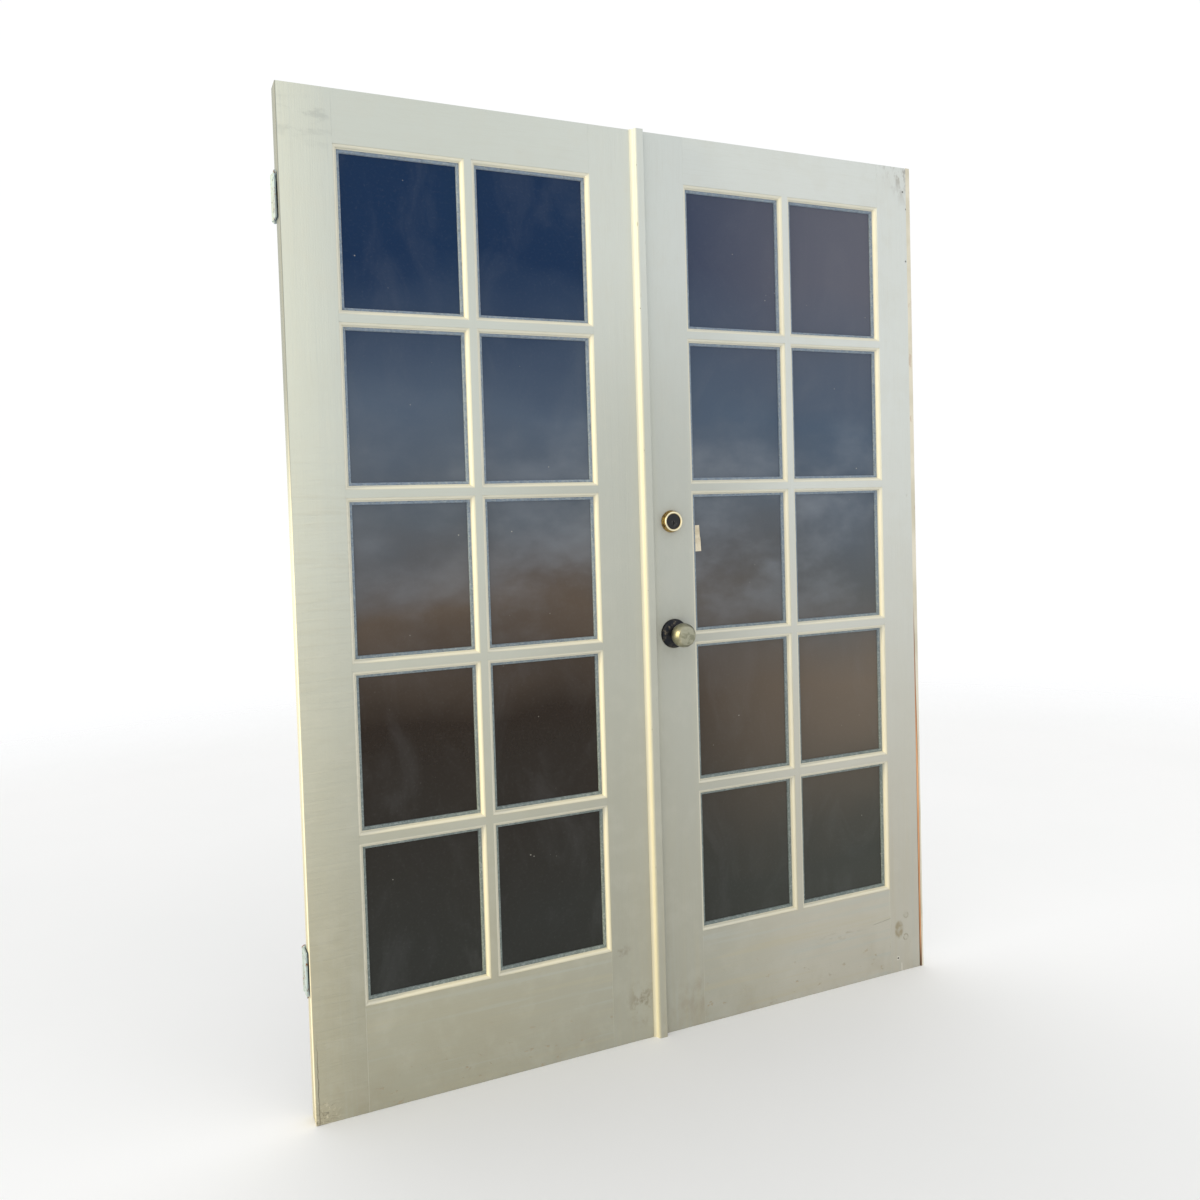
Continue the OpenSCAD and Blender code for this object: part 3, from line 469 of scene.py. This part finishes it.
def raw_wood():
    """The edge strip: painted outside, bare orange-brown softwood where the paint never reached."""
    f = Finish("strip_wood", Specular_IOR_Level=0.3)
    grain = f.noise(160, (1, 1, 0.03), 5, 0.65, warp=0.3)
    rings = f.noise(28, (1, 1, 0.06), 3, 0.5, shift=(2, 2, 2))
    wood = f.mix(grain.over(0.35, 0.7), "DFAE84", "BC8054")
    wood = f.mix((rings.over(0.5, 0.7) * 0.6).held(), wood, "DDB184")
    wood = f.mix((f.z.over(0.55, 0.85) * 0.75).held(), wood, "7C4A3C")
    wood = f.mix((f.z.over(0.10, 0.0) * 0.8).held(), wood, "2C211A")
    strokes = f.noise(420, GRAIN["up"], 3, 0.6)
    old = f.mix(f.noise(9, detail=4).over(0.4, 0.7), "D6D1C0", "C3BEAB")
    ragged = (f.noise(30, (1, 1, 0.3), 3) - 0.5) * 0.0025
    flaked = 0.7535 + f.z.over(0.92, 0.45) * 0.0052 + ragged
    crack = abs(f.x - flaked).over(0.0008, 0.0002) * f.z.over(0.95, 0.86)
    bare = (flaked - f.x).over(-0.0002, 0.0003) * f.z.over(0.95, 0.86)
    rub = f.noise(46, (1, 1, 0.3), 4, 0.6, shift=(6, 6, 6)).over(0.62, 0.66) * 0.5
    colour = f.mix((bare + rub * 0.6).held(), old, wood)
    colour = f.mix((crack * 0.8).held(), colour, "5A3F31")
    return f.shade(colour, 0.5 + grain * 0.25, grain + strokes * 0.5, 0.0005)


def painted_steel():
    """Hinges painted over with the doors: thick paint, bluish as painted sky light, with rust where
    it has flaked.
    """
    f = Finish("hinge_paint", Specular_IOR_Level=0.4)
    lumps = f.noise(260, detail=3, rough=0.6)
    chips = f.noise(85, (1, 1, 1.4), 4, 0.6, shift=(4, 2, 4))
    bare = chips.over(0.60, 0.63)
    rust = f.mix(lumps.over(0.4, 0.7), "5A3B28", "8A5B38")
    # painted sky light: the paint's blue tint
    colour = f.mix(f.noise(18, detail=3).over(0.35, 0.7), "94A6AE", "8B969B")
    colour = f.mix(bare, colour, rust)
    roughness = 0.35 + lumps * 0.2 + bare * 0.3
    return f.shade(colour, roughness, lumps * 0.4 - bare, 0.0003)


def dull_steel(name, base="8B8A86", dark="55514B"):
    """Plain steel that has lain in a wooden door for years."""
    f = Finish(name, Metallic=1.0)
    brushed = f.noise(900, (0.05, 1, 1), 3, 0.6)
    spots = f.noise(120, detail=4, rough=0.65)
    colour = f.mix((spots.over(0.48, 0.7) * 0.8).held(), base, dark)
    roughness = 0.34 + spots * 0.22 + brushed * 0.1
    return f.shade(colour, roughness, brushed + spots * 0.6, 0.0001)


def worn_brass():
    """Golden brass with dark patches, polished where keys and fingers pass."""
    f = Finish("worn_brass", Metallic=1.0)
    patch = f.noise(130, detail=4, rough=0.6, shift=(2, 3, 1))
    fine = f.noise(900, detail=2)
    colour = f.mix(patch.over(0.44, 0.66), "C9A762", "664A25")
    bright = f.y.over(FACE_OUT - 0.0125, FACE_OUT - 0.0135)
    colour = f.mix((bright * 0.9).held(), colour, "F4ECCB")
    roughness = 0.24 + patch * 0.25
    return f.shade(colour, roughness, fine + patch, 0.00012)


def aged_brass():
    """The plain brown brass of surface bolts, brighter where the rod slides."""
    f = Finish("aged_brass", Metallic=1.0)
    cloud = f.noise(28, detail=4, rough=0.55, shift=(1, 3, 5))
    fine = f.noise(800, (1, 1, 0.1), 3)
    colour = f.mix(cloud.over(0.38, 0.70), "A58A55", "7C6540")
    colour = f.mix((fine.over(0.5, 0.8) * 0.25).held(), colour, "BFA66F")
    return f.shade(colour, 0.32 + cloud * 0.2, fine * 0.5 + cloud * 0.5, 0.0001)


def knob_brass():
    """A ball knob worn to pale brass at the crown, pewter grey to green-black behind."""
    f = Finish("knob_brass", Metallic=0.9)
    patch = f.noise(62, detail=5, rough=0.6, shift=(4, 4, 9), warp=0.5)
    fine = f.noise(620, (1, 0.3, 1), 3)
    outward = abs(f.y).over(0.048, 0.084)
    worn = (outward + (patch - 0.5) * 1.1).held()
    colour = f.mix(worn, "33372F", "A3A28E")
    colour = f.mix((patch.over(0.52, 0.62) * 0.45).held(), colour, "5F6149")
    streak = f.noise(26, (1, 1, 0.4), 3, shift=(1, 1, 1)).over(0.55, 0.65)
    colour = f.mix((streak * 0.4).held(), colour, "D8CFB4")
    roughness = 0.30 + patch * 0.25
    return f.shade(colour, roughness, fine * 0.5 + patch, 0.0002)


def dark_bronze():
    """Near-black oiled bronze, rubbed a little at its rim."""
    f = Finish("dark_bronze", Metallic=0.85)
    patch = f.noise(95, detail=4, rough=0.6)
    fine = f.noise(700, detail=2)
    colour = f.mix(patch.over(0.45, 0.7), "24262B", "4A4640")
    rim = patch.over(0.60, 0.66)
    colour = f.mix((rim * 0.6).held(), colour, "8A7F6A")
    return f.shade(colour, 0.34 + patch * 0.2, fine + patch, 0.00015)


def black_face():
    """The lock cylinder: matt black coating, scratched bright round the keyway."""
    f = Finish("black_face", Specular_IOR_Level=0.4)
    fine = f.noise(500, detail=3)
    way = f.near((COLLAR_AT.x, COLLAR_LOW.y, COLLAR_AT.z - 0.006), 0.012)
    scratch = abs(f.noise(160, (1, 1, 0.3), 2, warp=1.0) - 0.5).over(0.02, 0.0) * way
    colour = f.mix((scratch * 0.7).held(), "17181A", "8E8B84")
    return f.shade(colour, 0.45 + fine * 0.2, fine, 0.0001)


def label_paper():
    """Creamy paper, faded and cockled by the weather."""
    f = Finish("label_paper", Specular_IOR_Level=0.25)
    fibres = f.noise(1500, (1, 1, 0.4), 3, 0.6)
    fade = f.noise(45, detail=3)
    colour = f.mix(fade.over(0.35, 0.7), "DDD3BC", "BDB196")
    colour = f.mix((fibres.over(0.5, 0.8) * 0.4).held(), colour, "CFC3A6")
    return f.shade(colour, 0.8 + fibres * 0.1, fibres + fade * 2.0, 0.0003)


# ---------------------------------------------------------------- dressing the CAD nodes


def dress(material, *names):
    """Puts a material on every face of the named CAD nodes."""
    for name in names:
        slots = frame["nodes"][name].material_slots
        for slot in slots:
            slot.material = material


PAINTS = {
    "left_hinge_stile": paint("paint_left_hinge_stile", "up", True, left_stile_marks),
    "left_meeting_stile": paint("paint_left_meeting_stile", "up", False, foot_marks),
    "right_hinge_stile": paint("paint_right_hinge_stile", "up", False, top_corner_marks),
    "right_meeting_stile": paint("paint_right_meeting_stile", "up", False, handled_marks),
    "cover_strip": paint("paint_cover_strip", "up", False, cover_marks),
}
RAIL_PAINT = paint("paint_rails", "across", False, rail_marks)
BAR_PAINT = paint("paint_upright_bars", "up")
GLASS = glass()
BEAD_PAINT = inside_paint()
SCREW_STEEL = dull_steel("screw_steel", "9A9A96", "5F5A52")
LOCK_STEEL = dull_steel("lock_steel")
BRASS = worn_brass()

for side in SIDES:
    for rail in ("top_rail", "bottom_rail", "cross_bars"):
        PAINTS[f"{side}_{rail}"] = RAIL_PAINT
    PAINTS[f"{side}_upright_bar"] = BAR_PAINT
    dress(GLASS, *[f"{side}_panes_row_{row}" for row in ROWS])
    dress(BEAD_PAINT, f"{side}_beads")
    dress(SCREW_STEEL, f"{side}_fixings")
for node, material in PAINTS.items():
    dress(material, node)
HINGE_PARTS = [n for n in frame["nodes"] if n.startswith(("jamb_plate", "leaf_plate", "hinge_pin"))]
dress(painted_steel(), *HINGE_PARTS)
dress(raw_wood(), "right_edge_strip")
dress(BRASS, "deadbolt_collar", "deadbolt_inside_plate", "thumb_turn")
dress(BRASS, "deadbolt_strike", "latch_strike")
dress(aged_brass(), "top_bolt_plate", "bottom_bolt_plate", "top_bolt_rod", "bottom_bolt_rod")
dress(black_face(), "deadbolt_cylinder", "deadbolt_plug")
dress(LOCK_STEEL, "deadbolt", "deadbolt_case", "latch", "latch_case", "spindle")
dress(knob_brass(), "outside_knob", "inside_knob")
dress(dark_bronze(), "outside_rose", "inside_rose")


# ---------------------------------------------------------------- pieces modelled here


def only(piece):
    """Makes piece the one object selected and active."""
    bpy.ops.object.select_all(action="DESELECT")
    piece.select_set(True)
    bpy.context.view_layer.objects.active = piece


def edit(select="DESELECT"):
    """Goes to edit mode on the active piece, with nothing or everything selected."""
    bpy.ops.object.mode_set(mode="EDIT")
    bpy.ops.mesh.select_all(action=select)


def pick_edges(piece, wanted):
    """Selects the edges for which wanted(one end, other end) is true, and counts them."""
    mesh = bmesh.from_edit_mesh(piece.data)
    mesh.select_mode = {"EDGE"}
    for edge in mesh.edges:
        edge.select = wanted(edge.verts[0].co, edge.verts[1].co)
    mesh.select_flush_mode()
    bmesh.update_edit_mesh(piece.data)
    return sum(edge.select for edge in mesh.edges)


def pick_faces(piece, wanted):
    """Selects the faces for which wanted(centre, normal) is true."""
    mesh = bmesh.from_edit_mesh(piece.data)
    mesh.select_mode = {"FACE"}
    for face in mesh.faces:
        face.select = wanted(face.calc_center_median(), face.normal)
    mesh.select_flush_mode()
    bmesh.update_edit_mesh(piece.data)


def settle(piece):
    """Back in object mode, with the place put into the mesh."""
    bpy.ops.object.mode_set(mode="OBJECT")
    only(piece)
    bpy.ops.object.transform_apply(location=True, rotation=True, scale=True)


def finish_piece(piece, name, material, body):
    """Names a new piece, gives it its one material, and rides it on its body."""
    piece.name = name
    piece.data.name = name
    piece.data.materials.clear()
    piece.data.materials.append(material)
    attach(piece, body)


def copy_of(node):
    """A new object with a CAD node's shape, its triangles joined and flat faces made whole."""
    mesh = frame["nodes"][node].data.copy()
    piece = bpy.data.objects.new(node + "_worn", mesh)
    bpy.context.scene.collection.objects.link(piece)
    only(piece)
    bpy.ops.mesh.customdata_custom_splitnormals_clear()
    edit("SELECT")
    bpy.ops.mesh.remove_doubles(threshold=MERGE)
    bpy.ops.mesh.dissolve_limited(angle_limit=FLAT)
    return piece


def at(value, *places):
    """Whether a value is at one of the places."""
    return any(abs(value - place) < SAME for place in places)


def on_rim(point):
    """On the outside edge of a leaf: its hinge edge, its foot or its top."""
    return at(abs(point.x), OUTER_X) or at(point.z, 0.0, LEAF_TOP)


def outer_corner(a, b):
    """An edge where a leaf's face turns into its rim."""
    on_face = all(at(abs(p.y), FACE_IN) for p in (a, b))
    shared = at(abs(a.x), OUTER_X) and at(abs(b.x), OUTER_X)
    level = at(a.z, 0.0, LEAF_TOP) and at(b.z, a.z)
    return on_face and on_rim(a) and on_rim(b) and (shared or level)


def joint_edge(a, b):
    """An upright edge where a rail's face meets a stile."""
    on_face = all(at(abs(p.y), FACE_IN) for p in (a, b))
    return on_face and at(a.x, b.x) and at(abs(a.x), OUTER_JOINT, INNER_JOINT)


def rounded_by_paint(piece, wanted, width, steps):
    """Bevels the edges for which wanted(one end, other end) is true."""
    if pick_edges(piece, wanted):
        bpy.ops.mesh.bevel(offset=width, segments=steps, affect="EDGES", clamp_overlap=True)


def make_worn_wood():
    """The leaves' members, with corners that years of paint have rounded."""
    members = ["hinge_stile", "meeting_stile", "top_rail", "bottom_rail"]
    for side, body in SIDES.items():
        for member in members:
            node = f"{side}_{member}"
            piece = copy_of(node)
            rounded_by_paint(piece, outer_corner, CORNER_ROUND, 3)
            rounded_by_paint(piece, joint_edge, JOINT_ROUND, 1)
            settle(piece)
            bpy.ops.object.shade_smooth_by_angle(angle=STILE_SMOOTH)
            finish_piece(piece, node + "_worn", PAINTS[node], body)
            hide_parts(node)


def pane_openings(side, row):
    """Low and high corners of each pane's clear opening, on the outside face of the glass."""
    low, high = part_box(f"{side}_panes_row_{row}")
    mesh = frame["nodes"][f"{side}_panes_row_{row}"].data
    middle = (low.x + high.x) / 2
    for half in (-1, 1):
        xs = [v.co.x for v in mesh.vertices if (v.co.x - middle) * half > 0]
        start = Vector((min(xs) + GLASS_REBATE, low.y, low.z + GLASS_REBATE))
        yield start, Vector((max(xs) - GLASS_REBATE, low.y, high.z - GLASS_REBATE))


def make_putty(side, body):
    """A hollow-faced line of putty round every pane, where the glass meets the wood."""
    rings = []
    for row in ROWS:
        for low, high in pane_openings(side, row):
            centre = (low + high) / 2
            bpy.ops.object.select_all(action="DESELECT")
            turn = (math.radians(90), 0, 0)
            bpy.ops.mesh.primitive_plane_add(size=1, location=centre, rotation=turn)
            ring = bpy.context.object
            ring.scale = (high.x - low.x, high.z - low.z, 1)
            settle(ring)
            edit("SELECT")
            bpy.ops.mesh.inset(thickness=PUTTY_WIDTH)
            bpy.ops.mesh.delete(type="FACE")
            bpy.ops.mesh.select_all(action="SELECT")
            push = {"value": (0, -PUTTY_LEG, 0)}
            bpy.ops.mesh.extrude_region_move(TRANSFORM_OT_translate=push)
            front = low.y - PUTTY_LEG

            def inner_front(a, b):
                level = at(a.y, front) and at(b.y, front)
                half = (high - low) / 2
                inside = [abs(p.x - centre.x) < half.x - PUTTY_WIDTH / 2 for p in (a, b)]
                inside += [abs(p.z - centre.z) < half.z - PUTTY_WIDTH / 2 for p in (a, b)]
                return level and all(inside)

            rounded_by_paint(ring, inner_front, PUTTY_LEG * PUTTY_HOLLOW, 3)
            bpy.ops.mesh.select_all(action="SELECT")
            bpy.ops.mesh.normals_make_consistent(inside=False)
            settle(ring)
            rings.append(ring)
    bpy.ops.object.select_all(action="DESELECT")
    for ring in rings:
        ring.select_set(True)
    bpy.context.view_layer.objects.active = rings[0]
    bpy.ops.object.join()
    bpy.ops.object.shade_smooth_by_angle(angle=SMALL_SMOOTH)
    finish_piece(rings[0], side + "_putty", PUTTY, body)


def make_label():
    """A strip of blank paper left stuck to a pane, its free end curling off the glass."""
    low, high = next(pane_openings("right", 3))
    size = LABEL_SIZE
    across = low.x + size.x / 2 + LABEL_GAP
    place = Vector((across, low.y - LABEL_OFF, high.z - LABEL_DROP - size.z / 2))
    bpy.ops.object.select_all(action="DESELECT")
    bpy.ops.mesh.primitive_grid_add(x_subdivisions=8, y_subdivisions=14, size=1, location=place)
    label = bpy.context.object
    label.rotation_euler = (math.radians(90), LABEL_LEAN, 0)
    label.scale = (size.x, size.z, 1)
    settle(label)
    edit()
    for share, lift in LABEL_CURL:
        limit = place.x - size.x / 2 + size.x * share
        pick_faces(label, lambda centre, normal: centre.x > limit and centre.z < place.z)
        bpy.ops.transform.translate(value=(0, -lift, 0))
    settle(label)
    sheet = label.modifiers.new("sheet", "SOLIDIFY")
    sheet.thickness = LABEL_THICK
    sheet.offset = 0
    bpy.ops.object.modifier_apply(modifier=sheet.name)
    bpy.ops.object.shade_smooth_by_angle(angle=SMALL_SMOOTH)
    finish_piece(label, "paper_label", label_paper(), "active_leaf")


PUTTY = putty()
make_worn_wood()
for side, body in SIDES.items():
    make_putty(side, body)
make_label()


# ---------------------------------------------------------------- studio and camera

# Camera place, its turn in degrees, its lens, and the small shift that frames the doors
CAMERA_AT = (-1.054, -2.126, 1.196)
CAMERA_TURN = (87.83, 1.66, -25.06)
CAMERA_LENS = 31.56
CAMERA_SHIFT = (-0.0148, -0.0413)
# Each light: its place, its target, its width and height, its watts and its colour
LIGHTS = {
    "warm_side": ((-5.2, -0.30, 2.2), (0, 0, 0.9), (0.36, 2.6), 330, (1.0, 0.83, 0.46)),
    "warm_bounce": ((-1.8, -3.2, 0.25), (0, 0, 1.6), (2.4, 0.5), 14, (1.0, 0.88, 0.62)),
    "cool_front": ((2.5, -4.0, 5.6), (0, 0, 1.3), (3.0, 2.0), 14, (0.90, 0.95, 1.0)),
}
SKY_COLOUR = (0.985, 0.99, 1.0, 1)
SKY_STRENGTH = 1.02
# Side of the floor, and how far out it has faded to nothing
FLOOR_SIZE = 40
FLOOR_FADE = 7.0


def make_camera():
    """The front view, from the left and a little above the knob."""
    data = bpy.data.cameras.new("camera")
    data.lens = CAMERA_LENS
    data.shift_x, data.shift_y = CAMERA_SHIFT
    camera = bpy.data.objects.new("camera", data)
    camera.location = CAMERA_AT
    camera.rotation_euler = Euler([math.radians(a) for a in CAMERA_TURN])
    bpy.context.scene.collection.objects.link(camera)
    bpy.context.scene.camera = camera


def soft_light(name, place, target, size, power, colour):
    """A rectangle of light at a place, aimed at a target."""
    data = bpy.data.lights.new(name, "AREA")
    data.shape = "RECTANGLE"
    data.size, data.size_y = size
    data.energy = power
    data.color = colour
    light = bpy.data.objects.new(name, data)
    light.location = place
    light.rotation_euler = (Vector(target) - Vector(place)).to_track_quat("-Z", "Y").to_euler()
    bpy.context.scene.collection.objects.link(light)
    return light


def doors_only(light):
    """Keeps a light off the floor, so that the floor stays plain and white."""
    lit = bpy.data.collections.new(light.name + "_lit")
    for piece in bpy.context.scene.objects:
        if piece.type == "MESH":
            lit.objects.link(piece)
    light.light_linking.receiver_collection = lit


def make_studio():
    """Even white light all round, a warm streak from the left, and a white floor that fades out."""
    scene = bpy.context.scene
    scene.view_settings.view_transform = "Standard"
    world = bpy.data.worlds.new("studio")
    scene.world = world
    world.use_nodes = True
    sky = world.node_tree.nodes["Background"]
    sky.inputs["Color"].default_value = SKY_COLOUR
    sky.inputs["Strength"].default_value = SKY_STRENGTH
    lights = {name: soft_light(name, *setting) for name, setting in LIGHTS.items()}
    lights["warm_bounce"].visible_glossy = False
    doors_only(lights["warm_side"])
    doors_only(lights["warm_bounce"])
    bpy.ops.object.select_all(action="DESELECT")
    bpy.ops.mesh.primitive_plane_add(size=FLOOR_SIZE, location=(0, 0, 0))
    floor = bpy.context.object
    floor.name = "floor"
    f = Finish("floor_paper", Specular_IOR_Level=0.2, Roughness=0.8)
    mottle = f.noise(1.2, detail=3)
    edge = f.near((0, 0, 0), FLOOR_FADE).over(0.05, 0.55)
    floor.data.materials.append(f.shade(f.mix(mottle, "F4F4F2", "F9F8F6"), Alpha=edge))


make_camera()
make_studio()
